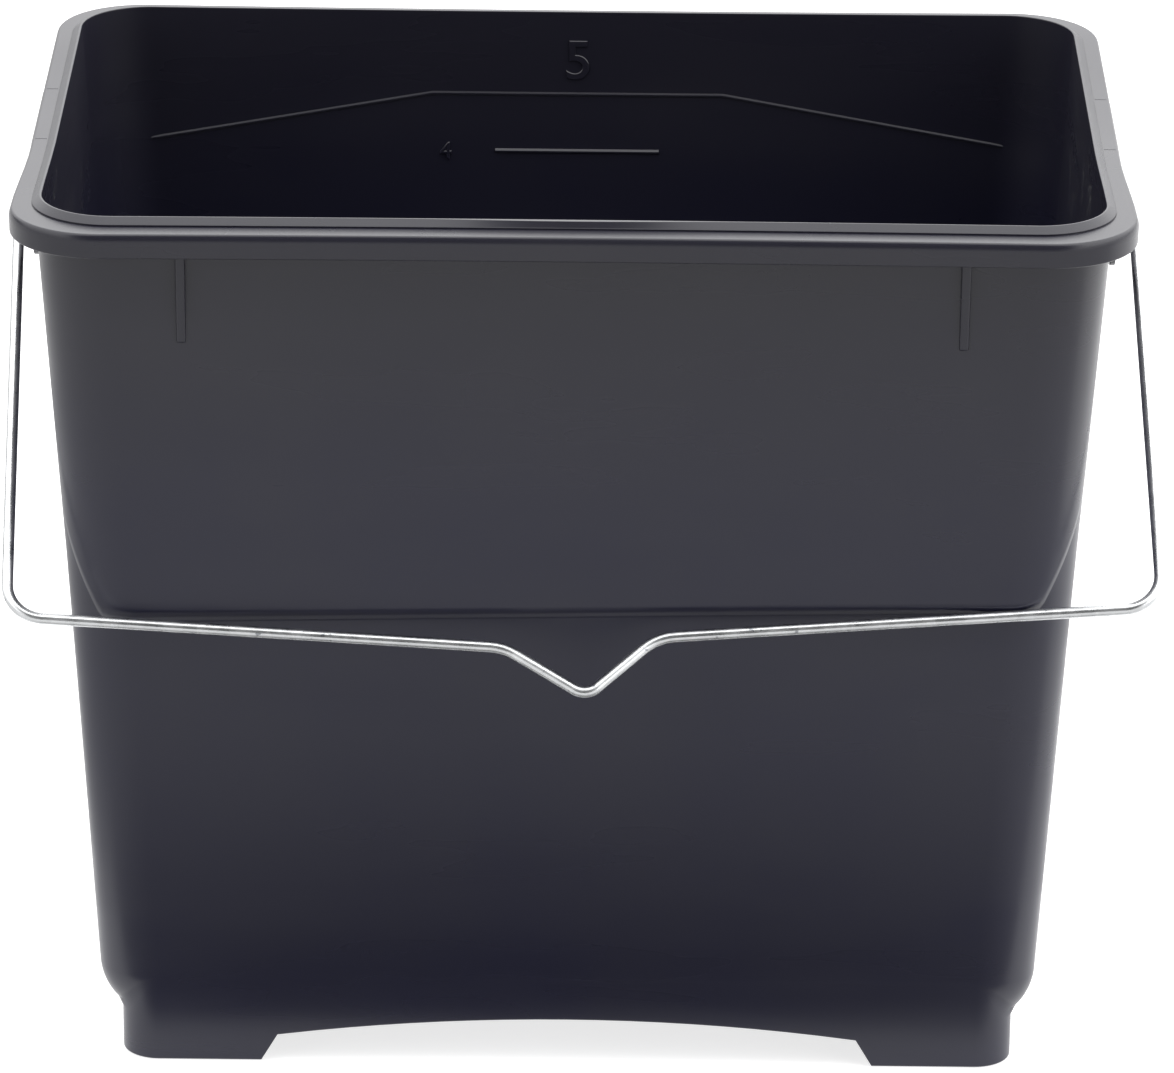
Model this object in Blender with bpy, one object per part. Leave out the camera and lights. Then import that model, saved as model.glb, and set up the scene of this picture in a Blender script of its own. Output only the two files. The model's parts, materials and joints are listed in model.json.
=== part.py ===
"""A rectangular five-litre wash bucket: a one-piece moulded tub and a bent wire bail.

Metres, +Z up. The origin is the centre of the base, on the surface that the bucket stands on.
+X is the bucket's right and -Y its front, the side that the bail hangs on.
"""

import math

import bmesh
import bpy

# Driving dimensions
RIM_WIDTH = 0.230  # outside the rim, along X
RIM_DEPTH = 0.1615  # outside the rim, along Y
RIM_CORNER = 0.0195  # plan radius of the rim's outer edge
RIM_TOP = 0.193  # height of the rim's flat flange
SPLAY_RIM = 0.0014  # how much wider the rim's edge is at each front corner
SPLAY_WALL = 0.0006  # the same for the lip and the top of the wall
SPLAY_START = 0.022  # from here to SPLAY_END in front of the middle the sides spread
SPLAY_END = 0.061
WALL = 0.0016
DRAFT = 0.06  # how far each wall leans out for each metre of height
WALL_INSET_X = 0.0042  # rim edge to the outer wall face, at the sides
WALL_INSET_Y = 0.0062  # the same at front and back
WIRE = 0.00245  # diameter of the bail's wire
PIVOT_DROP = 0.0198  # bail axis below the flange
CLEARANCE = 0.0003  # between pieces that touch

# Rim
FLANGE_THICK = 0.0016
SKIRT_DROP = 0.0052
SKIRT_THICK = 0.0013
SKIRT_BEVEL = 0.0005
LIP_UP = 0.0016
LIP_THICK = 0.0013
LIP_BEVEL = 0.0003

# Wall, ledge and bottom
CORNER_TOP = 0.0165  # plan radius of the wall's corners under the rim
CORNER_BOTTOM = 0.0130  # the same where the bottom rounding starts
LEDGE_HEIGHT = 0.1082  # underside of the upper wall, at the middle of front and back
LEDGE_SLOPE = 0.023  # it runs up a little towards the right
LEDGE_TURN = 60  # degrees round the corner, from the side, at which its edge starts to rise
LEDGE_RISE = 0.027  # how much higher the edge runs out at the side
LEDGE_BEVEL = 0.0009
RECESS = 0.0014  # how far the lower wall stands back under the ledge
FLOOR_UNDERSIDE = 0.0122
FLOOR_THICK = 0.0020
INNER_FILLET = 0.006
BOTTOM_START = 0.0205  # height at which the side walls start to round in
BOTTOM_RADIUS = 0.0137
FOOT_HALF_WIDTH = 0.0955
FOOT_CORNER = 0.008
FOOT_THICK = 0.0017
FOOT_HEIGHT = 0.0100  # where the rounding meets the foot, at the sides
CREASE_RISE = 0.0095  # how much higher it meets the foot at front and back
CREASE_POWER = 5

# Arch between the feet, through the front and back of the foot
ARCH_HALF_BOTTOM = 0.0655
ARCH_HALF_TOP = 0.0620
ARCH_SHOULDER = 0.0061
ARCH_APEX = 0.0104

# Ears that carry the bail, and the ribs round the rim
EAR_HALF = 0.0179
EAR_DROP = 0.0271  # foot of the ear below the flange
EAR_CORNER = 0.005
EAR_HOLE = 0.0016  # radius
GUSSET_DROP = 0.0218
GUSSET_THICK = 0.0013
GUSSET_SINK = 0.00015  # the gusset's root lies this deep in the wall at its lower end
JOIN = 0.00005  # keeps joined faces from lying in one plane
RIB_OFFSET = 0.0805
RIB_WIDTH = 0.0020
RIB_DROP = 0.0258
RIB_DEPTH_TOP = 0.0030
RIB_DEPTH_BOTTOM = 0.0005

# Graduations inside the back wall
LITRES = (1, 2, 3, 4)
LITRE = 0.001  # cubic metres
MARK_LENGTH = 0.0365
MARK_THICK = 0.0008
MARK_PROUD = 0.0004

# Bail, measured in its own plane: out from the middle, and down from the axis
LEFT_SHOULDER = (-0.1200, 0.0)
LEFT_ELBOW = (-0.1177, 0.0981)  # where the bar's line meets the arm's
LEFT_BEND = (-0.0138, 0.1041)
NOTCH_TIP = (0.0036, 0.1151)
RIGHT_BEND = (0.0182, 0.1015)
RIGHT_ELBOW = (0.1237, 0.0932)
RIGHT_SHOULDER = (0.1195, 0.0)
TAIL_OUT = 0.1117
TAIL_LENGTH = 0.008
TAIL_RADIUS = 0.002
SHOULDER_RADIUS = 0.003
ELBOW_RADIUS = 0.008
NOTCH_RADIUS = 0.004

SPLAY_SHARES = (0.36, 0.58, 0.80)  # stations along the front half of each side
CORNER_STEPS = 8
BEND_STEPS = 5
ARCH_STEPS = 16

HALF_X = RIM_WIDTH / 2
HALF_Y = RIM_DEPTH / 2
PIVOT_Z = RIM_TOP - PIVOT_DROP
FLOOR_TOP = FLOOR_UNDERSIDE + FLOOR_THICK


def clear_scene():
    for thing in list(bpy.data.objects):
        bpy.data.objects.remove(thing, do_unlink=True)


def new_collection(name):
    collection = bpy.data.collections.new(name)
    bpy.context.scene.collection.children.link(collection)
    return collection


def material(name, colour, roughness, metallic):
    made = bpy.data.materials.new(name)
    made.use_nodes = True
    shader = made.node_tree.nodes["Principled BSDF"]
    shader.inputs["Base Color"].default_value = (*colour, 1.0)
    shader.inputs["Roughness"].default_value = roughness
    shader.inputs["Metallic"].default_value = metallic
    return made


def object_from(bm, name, collection):
    bmesh.ops.recalc_face_normals(bm, faces=bm.faces)
    mesh = bpy.data.meshes.new(name)
    bm.to_mesh(mesh)
    bm.free()
    made = bpy.data.objects.new(name, mesh)
    collection.objects.link(made)
    return made


# Plan sizes of the wall at a height


def wall_half_x(z):
    return HALF_X - WALL_INSET_X - DRAFT * (RIM_TOP - z)


def wall_half_y(z):
    return HALF_Y - WALL_INSET_Y - DRAFT * (RIM_TOP - z)


def wall_corner(z):
    share = (z - BOTTOM_START) / (RIM_TOP - BOTTOM_START)
    return CORNER_BOTTOM + (CORNER_TOP - CORNER_BOTTOM) * max(share, 0.0)


def bottom_inset(z):
    """How far the rounding under the walls has drawn in at this height."""
    drop = max(BOTTOM_START - z, 0.0)
    return BOTTOM_RADIUS - math.sqrt(BOTTOM_RADIUS**2 - drop**2)


def ledge_height(turn, x, above=0.0):
    """The upper wall's lower edge: nearly level across the front, rising round each corner.

    turn is 0 at a side and 1 at front or back.
    """
    left = max(1 - math.degrees(math.asin(min(turn, 1.0))) / LEDGE_TURN, 0.0)
    return LEDGE_HEIGHT + LEDGE_SLOPE * x + LEDGE_RISE * left + above


def crease_height(turn, _x=0.0):
    """Where the bottom rounding meets the foot."""
    return FOOT_HEIGHT + CREASE_RISE * turn**CREASE_POWER


def splay_share(y):
    """None of the splay at the back, all of it at the front corners."""
    share = min(max((-y - SPLAY_START) / (SPLAY_END - SPLAY_START), 0.0), 1.0)
    return share * share * (3 - 2 * share)


def plan_places():
    """Each ring point as (share along X, share along Y, direction it faces), anticlockwise.

    The shares are of the straight sides, and 1 or -1 on the corners.
    """
    for quadrant in range(4):
        side_x = 1 if quadrant in (0, 3) else -1
        side_y = 1 if quadrant in (0, 1) else -1
        for step in range(CORNER_STEPS + 1):
            yield side_x, side_y, math.radians(90 * (quadrant + step / CORNER_STEPS))
        shares = {1: SPLAY_SHARES, 3: SPLAY_SHARES[::-1]}.get(quadrant, ())
        for share in shares:
            yield side_x, -share, math.radians(90 * (quadrant + 1))


def ring(outline, height, recess=0.0, splay=0.0):
    """A rounded rectangle seen from above.

    outline gives its half width, half depth and corner radius at a height. height is a number,
    or a function of the turn towards front or back and of x. recess sets back only what faces
    there, and splay spreads the front corners.
    """
    points = []
    for along_x, along_y, angle in plan_places():
        turn = abs(math.sin(angle))
        z = height
        if callable(height):
            half_x, _, corner = outline(0.0)
            z = height(turn, along_x * (half_x - corner) + corner * math.cos(angle))
        half_x, half_y, corner = outline(z)
        x = along_x * (half_x - corner) + corner * math.cos(angle)
        y = along_y * (half_y - corner) + (corner - recess) * math.sin(angle)
        points.append((x + along_x * splay * splay_share(y), y, z))
    return points


def wall_ring(height, inset=0.0, recess=0.0, splay=0.0):
    """A section of the wall, drawn in by inset."""

    def outline(z):
        return wall_half_x(z) - inset, wall_half_y(z) - inset, wall_corner(z) - inset

    return ring(outline, height, recess, splay)


def bottom_ring(share):
    """The rounding between the crease (share 0) and the straight wall (share 1)."""
    points = []
    level = wall_ring(BOTTOM_START, recess=RECESS)
    for (x, y, _), (_, _, angle) in zip(level, plan_places()):
        low = crease_height(abs(math.sin(angle)))
        z = low + share * (BOTTOM_START - low)
        inset = bottom_inset(z)
        points.append((x - inset * math.cos(angle), y - inset * math.sin(angle), z))
    return points


def shell_rings():
    """The tub's section, from the middle of its underside, round the rim, to its floor."""
    flange_low = RIM_TOP - FLANGE_THICK
    skirt_low = RIM_TOP - SKIRT_DROP
    skirt_in = SKIRT_THICK
    lip_x = wall_half_x(RIM_TOP) - WALL + LIP_THICK
    lip_y = wall_half_y(RIM_TOP) - WALL + LIP_THICK
    lip_corner = CORNER_TOP - WALL + LIP_THICK
    lip_top = RIM_TOP + LIP_UP

    def foot(inset, height):
        def outline(z):
            half_y = wall_half_y(z) - RECESS
            return FOOT_HALF_WIDTH - inset, half_y - inset, FOOT_CORNER - inset

        return ring(outline, height)

    def rim(inset, height):
        def outline(z):
            return HALF_X - inset, HALF_Y - inset, RIM_CORNER - inset

        return ring(outline, height, splay=SPLAY_RIM)

    def lip(inset, height):
        def outline(z):
            return lip_x - inset, lip_y - inset, lip_corner - inset

        return ring(outline, height, splay=SPLAY_WALL)

    rings = [
        foot(FOOT_THICK, FLOOR_UNDERSIDE),
        foot(FOOT_THICK, 0.0),
        foot(0.0, 0.0),
        foot(0.0, crease_height),
    ]
    rings += [bottom_ring(share) for share in (0.25, 0.5, 0.75)]
    rings += [
        wall_ring(BOTTOM_START, recess=RECESS),
        wall_ring(lambda turn, x: ledge_height(turn, x, -LEDGE_BEVEL), recess=RECESS),
        wall_ring(ledge_height),
        wall_ring(flange_low, splay=SPLAY_WALL),
        rim(skirt_in, flange_low),
        rim(skirt_in, skirt_low),
        rim(0.0, skirt_low),
        rim(0.0, RIM_TOP - SKIRT_BEVEL),
        rim(SKIRT_BEVEL, RIM_TOP),
        lip(0.0, RIM_TOP),
        lip(0.0, lip_top - LIP_BEVEL),
        lip(LIP_BEVEL, lip_top),
        lip(LIP_THICK - LIP_BEVEL, lip_top),
        lip(LIP_THICK, lip_top - LIP_BEVEL),
        wall_ring(lambda turn, x: ledge_height(turn, x, WALL), WALL),
        wall_ring(lambda turn, x: ledge_height(turn, x, WALL - LEDGE_BEVEL), WALL, RECESS),
        wall_ring(FLOOR_TOP + INNER_FILLET, WALL, RECESS),
    ]
    for degrees in (30, 60, 90):
        angle = math.radians(degrees)
        inset = WALL + INNER_FILLET * (1 - math.cos(angle))
        height = FLOOR_TOP + INNER_FILLET * (1 - math.sin(angle))
        rings.append(wall_ring(height, inset, RECESS))
    return rings


def loft(rings, name, collection):
    """One closed body through rings of equally many points, closed flat at both ends."""
    bm = bmesh.new()
    loops = [[bm.verts.new(point) for point in points] for points in rings]
    for lower, upper in zip(loops, loops[1:]):
        for index in range(len(lower)):
            after = (index + 1) % len(lower)
            bm.faces.new((lower[index], lower[after], upper[after], upper[index]))
    bm.faces.new(loops[0])
    bm.faces.new(loops[-1])
    return object_from(bm, name, collection)


def box(low, high, name, collection):
    bm = bmesh.new()
    bmesh.ops.create_cube(bm, size=1.0)
    for vertex in bm.verts:
        for axis in range(3):
            middle = (low[axis] + high[axis]) / 2
            vertex.co[axis] = middle + vertex.co[axis] * (high[axis] - low[axis])
    return object_from(bm, name, collection)


def prism(outline, axis, start, end, name, collection):
    """An outline of (u, v) points, pushed along X (axis 0) or Y (axis 1) from start to end."""
    bm = bmesh.new()
    near = [bm.verts.new((start, u, v) if axis == 0 else (u, start, v)) for u, v in outline]
    face = bm.faces.new(near)
    pushed = bmesh.ops.extrude_face_region(bm, geom=[face])
    for item in pushed["geom"]:
        if isinstance(item, bmesh.types.BMVert):
            item.co[axis] = end
    return object_from(bm, name, collection)


def boolean(target, other, operation):
    modifier = target.modifiers.new(other.name, "BOOLEAN")
    modifier.object = other
    modifier.operation = operation
    modifier.solver = "EXACT"
    other.hide_render = True
    other.display_type = "WIRE"


def arch_outline():
    """The opening between the feet: sloped ends and a shallow arc above them."""
    rise = ARCH_APEX - ARCH_SHOULDER
    radius = (ARCH_HALF_TOP**2 + rise**2) / (2 * rise)
    reach = math.asin(ARCH_HALF_TOP / radius)
    below = -0.002
    lean = (ARCH_HALF_BOTTOM - ARCH_HALF_TOP) / ARCH_SHOULDER
    foot = ARCH_HALF_BOTTOM - lean * below
    outline = [(-foot, below), (foot, below)]
    for step in range(ARCH_STEPS + 1):
        angle = reach * (1 - 2 * step / ARCH_STEPS)
        outline.append((radius * math.sin(angle), ARCH_APEX - radius * (1 - math.cos(angle))))
    return outline


def ear_outline():
    """The ear seen from the side, its lower corners rounded."""
    low = RIM_TOP - EAR_DROP
    high = RIM_TOP - FLANGE_THICK / 2
    outline = [(EAR_HALF - JOIN, high), (-EAR_HALF + JOIN, high)]
    for start, side in ((180, -1), (270, 1)):
        for step in range(BEND_STEPS + 1):
            angle = math.radians(start + 90 * step / BEND_STEPS)
            across = side * (EAR_HALF - JOIN - EAR_CORNER) + EAR_CORNER * math.cos(angle)
            outline.append((across, low + EAR_CORNER + EAR_CORNER * math.sin(angle)))
    return outline


def add_ear(tub, side, cutters):
    """The ear under the rim on one side, its two gussets and the bail's hole."""
    label = "right" if side > 0 else "left"
    outer = side * (HALF_X - JOIN)
    inner = side * (HALF_X - SKIRT_THICK + JOIN)
    ear = prism(ear_outline(), 0, inner, outer, f"ear_{label}", cutters)
    boolean(tub, ear, "UNION")
    wall_x = wall_half_x(RIM_TOP - GUSSET_DROP) - GUSSET_SINK
    for end in (-1, 1):
        near = end * (EAR_HALF - GUSSET_THICK)
        far = end * EAR_HALF
        span_x = sorted((side * wall_x, side * (HALF_X - SKIRT_THICK / 2)))
        low = (span_x[0], min(near, far), RIM_TOP - GUSSET_DROP)
        high = (span_x[1], max(near, far), RIM_TOP - FLANGE_THICK / 2)
        gusset = box(low, high, f"gusset_{label}_{'back' if end > 0 else 'front'}", cutters)
        boolean(tub, gusset, "UNION")
    bm = bmesh.new()
    bmesh.ops.create_cone(
        bm, cap_ends=True, segments=24, radius1=EAR_HOLE, radius2=EAR_HOLE, depth=3 * SKIRT_THICK
    )
    hole = object_from(bm, f"hole_{label}", cutters)
    hole.location = (side * (HALF_X - SKIRT_THICK / 2), 0.0, PIVOT_Z)
    hole.rotation_euler = (0.0, math.radians(90), 0.0)
    boolean(tub, hole, "DIFFERENCE")


def add_ribs(tub, cutters):
    """Two slim ribs under the rim on the front and two on the back."""
    top = RIM_TOP - FLANGE_THICK / 2
    low = RIM_TOP - RIB_DROP
    for end in (-1, 1):
        root_top = wall_half_y(top) - WALL / 2
        root_low = wall_half_y(low) - WALL / 2
        outline_y = [
            (end * root_top, top),
            (end * (wall_half_y(top) + RIB_DEPTH_TOP), top),
            (end * (wall_half_y(low) + RIB_DEPTH_BOTTOM), low),
            (end * root_low, low),
        ]
        for side in (-1, 1):
            middle = side * RIB_OFFSET
            name = f"rib_{'front' if end < 0 else 'back'}_{'left' if side < 0 else 'right'}"
            rib = prism(outline_y, 0, middle - RIB_WIDTH / 2, middle + RIB_WIDTH / 2, name, cutters)
            boolean(tub, rib, "UNION")


def cavity_area(z):
    """The cavity's plan area at a height: a rectangle less its rounded corners."""
    recess = RECESS if z < LEDGE_HEIGHT else 0.0
    half_x = wall_half_x(z) - WALL
    half_y = wall_half_y(z) - WALL - recess
    corner = wall_corner(z) - WALL
    return 4 * half_x * half_y - (4 - math.pi) * corner**2


def level_of(volume):
    """The height to which this volume of water fills the tub, summed in thin layers."""
    layer = 0.0002
    height = FLOOR_TOP
    held = 0.0
    while held < volume:
        held += layer * cavity_area(height + layer / 2)
        height += layer
    return height


def add_marks(tub, cutters):
    """A raised bar inside the back wall at each whole litre."""
    for litres in LITRES:
        z = level_of(litres * LITRE)
        recess = RECESS if z < LEDGE_HEIGHT else 0.0
        face = wall_half_y(z) - WALL - recess
        low = (-MARK_LENGTH / 2, face - MARK_PROUD, z - MARK_THICK / 2)
        high = (MARK_LENGTH / 2, face + WALL / 2, z + MARK_THICK / 2)
        boolean(tub, box(low, high, f"mark_{litres}", cutters), "UNION")


def make_tub(parts, cutters):
    tub = loft(shell_rings(), "tub", parts)
    for side in (-1, 1):
        add_ear(tub, side, cutters)
    add_ribs(tub, cutters)
    add_marks(tub, cutters)
    arch = prism(arch_outline(), 1, -HALF_Y, HALF_Y, "arch", cutters)
    boolean(tub, arch, "DIFFERENCE")
    tub.data.materials.append(material("black_polypropylene", (0.035, 0.035, 0.042), 0.42, 0.0))
    return tub


def rounded_path(corners):
    """Points along straight runs joined by arcs. Each corner is (out, down, bend radius)."""
    path = [corners[0][:2]]
    for before, here, after in zip(corners, corners[1:], corners[2:]):
        back = math.dist(before[:2], here[:2])
        ahead = math.dist(after[:2], here[:2])
        into = [(here[i] - before[i]) / back for i in range(2)]
        away = [(after[i] - here[i]) / ahead for i in range(2)]
        turn = math.acos(max(-1.0, min(1.0, into[0] * away[0] + into[1] * away[1])))
        left = 1 if into[0] * away[1] - into[1] * away[0] > 0 else -1
        radius = here[2]
        setback = radius * math.tan(turn / 2)
        start = [here[i] - into[i] * setback for i in range(2)]
        centre = (start[0] - left * into[1] * radius, start[1] + left * into[0] * radius)
        steps = max(2, math.ceil(BEND_STEPS * turn / math.radians(90)))
        for step in range(steps + 1):
            angle = left * turn * step / steps
            arm = (start[0] - centre[0], start[1] - centre[1])
            path.append(
                (
                    centre[0] + arm[0] * math.cos(angle) - arm[1] * math.sin(angle),
                    centre[1] + arm[0] * math.sin(angle) + arm[1] * math.cos(angle),
                )
            )
    path.append(corners[-1][:2])
    return path


def bail_path():
    """From tail to tail. The wire is bent by hand, so its two halves differ a little."""
    return rounded_path(
        [
            (-TAIL_OUT, TAIL_LENGTH, 0.0),
            (-TAIL_OUT, 0.0, TAIL_RADIUS),
            (*LEFT_SHOULDER, SHOULDER_RADIUS),
            (*LEFT_ELBOW, ELBOW_RADIUS),
            (*LEFT_BEND, NOTCH_RADIUS),
            (*NOTCH_TIP, NOTCH_RADIUS),
            (*RIGHT_BEND, NOTCH_RADIUS),
            (*RIGHT_ELBOW, ELBOW_RADIUS),
            (*RIGHT_SHOULDER, SHOULDER_RADIUS),
            (TAIL_OUT, 0.0, TAIL_RADIUS),
            (TAIL_OUT, TAIL_LENGTH, 0.0),
        ]
    )


def hang_angle():
    """The angle from straight down at which the hanging bar lies against the front wall.

    It touches where the bar is nearest its axis, at the right end of the flat front.
    """
    flat_half = wall_half_x(LEDGE_HEIGHT) - wall_corner(LEDGE_HEIGHT)
    share = (RIGHT_ELBOW[0] - flat_half) / (RIGHT_ELBOW[0] - RIGHT_BEND[0])
    reach = RIGHT_ELBOW[1] + (RIGHT_BEND[1] - RIGHT_ELBOW[1]) * share
    angle = math.radians(45)
    for _ in range(20):
        face = wall_half_y(PIVOT_Z - reach * math.cos(angle)) - RECESS
        angle = math.asin((face + WIRE / 2 + CLEARANCE) / reach)
    return angle


def make_bail(parts):
    curve = bpy.data.curves.new("wire_handle", "CURVE")
    curve.dimensions = "3D"
    curve.bevel_depth = WIRE / 2
    curve.bevel_resolution = 2
    curve.use_fill_caps = True
    points = bail_path()
    spline = curve.splines.new("POLY")
    spline.points.add(len(points) - 1)
    for point, (out, down) in zip(spline.points, points):
        point.co = (out, 0.0, -down, 1.0)
    bail = bpy.data.objects.new("wire_handle", curve)
    bail.location = (0.0, 0.0, PIVOT_Z)
    bail.rotation_euler = (-hang_angle(), 0.0, 0.0)
    parts.objects.link(bail)
    bail.data.materials.append(material("galvanised_wire", (0.72, 0.73, 0.75), 0.32, 1.0))
    return bail


def main():
    clear_scene()
    parts = new_collection("wash_bucket")
    cutters = new_collection("cutters")
    make_tub(parts, cutters)
    make_bail(parts)


main()
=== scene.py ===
"""Looks of a rectangular wash bucket: a one-piece moulded tub and its galvanised wire bail.

Metres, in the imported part's frame: +Z up, -Y the front, the origin at the middle of the base.
"""

import json
import math

import bmesh
import bpy
from mathutils import Matrix, Vector


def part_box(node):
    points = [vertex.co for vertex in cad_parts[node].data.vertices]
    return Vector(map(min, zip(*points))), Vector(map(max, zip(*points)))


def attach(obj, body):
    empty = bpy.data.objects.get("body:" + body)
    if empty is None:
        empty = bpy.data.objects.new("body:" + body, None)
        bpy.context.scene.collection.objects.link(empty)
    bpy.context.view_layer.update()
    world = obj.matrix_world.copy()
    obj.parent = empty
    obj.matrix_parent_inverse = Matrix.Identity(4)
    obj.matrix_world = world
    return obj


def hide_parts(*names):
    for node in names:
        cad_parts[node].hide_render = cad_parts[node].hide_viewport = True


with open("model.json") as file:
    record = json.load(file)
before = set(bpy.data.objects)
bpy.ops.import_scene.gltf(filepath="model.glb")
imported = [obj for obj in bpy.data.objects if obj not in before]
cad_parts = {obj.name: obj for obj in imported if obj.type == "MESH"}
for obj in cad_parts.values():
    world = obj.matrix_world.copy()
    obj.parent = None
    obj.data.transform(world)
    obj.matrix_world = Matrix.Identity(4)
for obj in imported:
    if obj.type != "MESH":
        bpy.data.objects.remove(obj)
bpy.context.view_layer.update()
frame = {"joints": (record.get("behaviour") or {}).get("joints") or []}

# From the frame
TUB_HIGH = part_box("tub")[1]
SPLAY_RIM = 0.0014  # how much wider the rim's edge is at each front corner
HALF_X = TUB_HIGH.x - SPLAY_RIM
HALF_Y = TUB_HIGH.y
LIP_TOP = TUB_HIGH.z
PIVOT = Vector(frame["joints"][0]["pos_m"])

# Rim
LIP_UP = 0.0016
RIM_TOP = LIP_TOP - LIP_UP
RIM_CORNER = 0.0195
FLANGE_THICK = 0.0016
SKIRT_DROP = 0.0052
SKIRT_THICK = 0.0013
RIM_EDGE = 0.0009  # the flange's outer edge is rounded this far in
RIM_EDGE_DROP = 0.0019  # and this far down
SKIRT_EDGE = 0.0004
SMALL_FILLET = 0.0005
SPLAY_WALL = 0.0006  # as SPLAY_RIM, for the lip and the top of the wall
SPLAY_START = 0.022  # from here to SPLAY_END in front of the middle the sides spread
SPLAY_END = 0.061
SPLAY_LOW = 0.115  # height at which the wall starts to spread
LIP_FLARE = 0.0008  # how far the lip's foot spreads outside its plan
LIP_FOOT = 0.0005  # height of the lip's upright foot, under its sloping outer face
LIP_THICK = 0.0013
LIP_CREST = 0.0006  # width of the lip's top
LIP_EDGE = 0.0002
PINCH = 0.0008  # how much wider the crest is at the middle of the front and back
PINCH_HALF = 0.036

# Wall, ledge and bottom
WALL = 0.0016
DRAFT = 0.06  # how far each wall leans out for each metre of height
WALL_INSET_X = 0.0042
WALL_INSET_Y = 0.0062
CORNER_TOP = 0.0165
CORNER_BOTTOM = 0.0130
LEDGE_HEIGHT = 0.1082
LEDGE_DROP = 0.00315  # the crease under the ledge is this much lower
LEDGE_ROUND = 0.0039  # radius of the upper wall's lower edge
LEDGE_LEAN = math.radians(30)  # how far the ledge under it leans back
LEDGE_SLOPE = 0.023  # the ledge runs up a little towards the right
LEDGE_TURN = 60  # degrees round the corner at which the edge starts to rise
LEDGE_RISE = 0.027
RECESS = 0.0014
FLOOR_UNDERSIDE = 0.0122
FLOOR_THICK = 0.0020
FLOOR_TOP = FLOOR_UNDERSIDE + FLOOR_THICK
INNER_FILLET = 0.006
BOTTOM_START = 0.0205
BOTTOM_RADIUS = 0.0137
FOOT_HALF_WIDTH = 0.0955
FOOT_CORNER = 0.008
FOOT_THICK = 0.0017
FOOT_EDGE = 0.0004
FOOT_HEIGHT = 0.0100
UNDERSIDE_INSETS = (0.030, 0.008)  # rings of the flat underside, from the middle outwards
CREASE_RISE = 0.0095
CREASE_POWER = 5
BOW = 0.0014  # how far the front and back rims draw in at mid-length as the moulding cools
BOW_POWER = 1.5

# Arch between the feet
ARCH_HALF_BOTTOM = 0.0655
ARCH_HALF_TOP = 0.0620
ARCH_SHOULDER = 0.0061
ARCH_APEX = 0.0104

# Ears and ribs under the rim
EAR_HALF = 0.0179
EAR_DROP = 0.0271
EAR_CORNER = 0.005
EAR_HOLE = 0.0016
EAR_EDGE = 0.00025
GUSSET_DROP = 0.0218
GUSSET_THICK = 0.0013
GUSSET_SINK = 0.00015  # the gusset's root lies this deep in the wall at its lower end
JOIN = 0.00005
RIB_OFFSET = 0.0805
RIB_WIDTH = 0.0020
RIB_DROP = 0.0258
RIB_DEPTH_TOP = 0.0030
RIB_DEPTH_BOTTOM = 0.0005
RIB_EDGE = 0.0005
SEAM_Y = 0.0173  # the mould's side inserts part here
SEAM_WIDTH = 0.0006
SEAM_UP = 0.00004

# Graduations inside the back wall
LITRE = 0.001
MARKS = (1, 2, 3, 4)
MARK_HALF = 0.01825
MARK_BASE = 0.00055  # half height of a raised line where it meets the wall
MARK_TOP = 0.00015
MARK_PROUD = 0.0004
DIGIT_SIZE = 0.0052
DIGIT_X = -0.0293
BIG_DIGIT_SIZE = 0.0125
BIG_DIGIT_DROP = 0.0094  # middle of the large digit, below the rim
DIGIT_BEVEL = 0.00015
DIGIT_SINK = 0.0005
MARK_SINK = 0.0004
ROOF_DROP_MIDDLE = 0.0173
ROOF_DROP_END = 0.0285
ROOF_HALF_MIDDLE = 0.0323
ROOF_HALF_END = 0.0950
ROOF_BASE = 0.0005
ROOF_PROUD = 0.00025

# Bail, measured in its own plane: out from the middle, and down from the axis
WIRE = 0.00245
CLEARANCE = 0.0003
LEFT_SHOULDER = (-0.1190, 0.0)
LEFT_ELBOW = (-0.1177, 0.0981)
LEFT_BEND = (-0.0138, 0.1041)
NOTCH_TIP = (0.0036, 0.1151)
RIGHT_BEND = (0.0182, 0.1015)
RIGHT_ELBOW = (0.1237, 0.0932)
RIGHT_SHOULDER = (0.1195, 0.0)
TAIL_OUT = 0.1117
TAIL_LENGTH = 0.008
TAIL_RADIUS = 0.002
SHOULDER_RADIUS = 0.003
ELBOW_RADIUS = 0.008
BEND_RADIUS = 0.011
NOTCH_RADIUS = 0.004
WIRE_SIDES = 24
WIRE_CHAMFER = 0.0002

# Resolution
CORNER_STEPS = 16
EDGE_STEPS = 4
WALL_STEPS = 9
BEND_STEPS = 12
LONG_STEPS = 26
SHORT_STEPS = 14

SMOOTH_ANGLE = math.radians(33)

# Finishes
TINT_HEIGHTS = (0.115, 0.185)  # the black looks bluer below these heights
PLASTIC_LOW = (0.0078, 0.0079, 0.0225, 1)
PLASTIC_HIGH = (0.0108, 0.0104, 0.0180, 1)
PLASTIC_CLOUD = (0.0180, 0.0175, 0.0240, 1)
# Scuff marks inside, lightened by a painted highlight
SCUFF_SHEEN_GREY = (0.060, 0.060, 0.058, 1)
SCUFF_SHEEN_FACE = 0.12
SCUFF_SHEEN_DEPTHS = (0.036, 0.052)  # how far from mid-depth the scuff marks and their painted highlight fade out
SCUFF_SHEEN_HEIGHTS = (0.155, 0.172)
SCUFF_SHEEN_FADE = 0.006
ZINC_DULL = (0.60, 0.61, 0.62, 1)
ZINC_BRIGHT = (0.70, 0.71, 0.72, 1)
ZINC_NICK = (0.30, 0.31, 0.33, 1)
DRAWN_SCALE = (60.0, 2600.0, 1.0)  # drawing marks are long and thin

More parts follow.
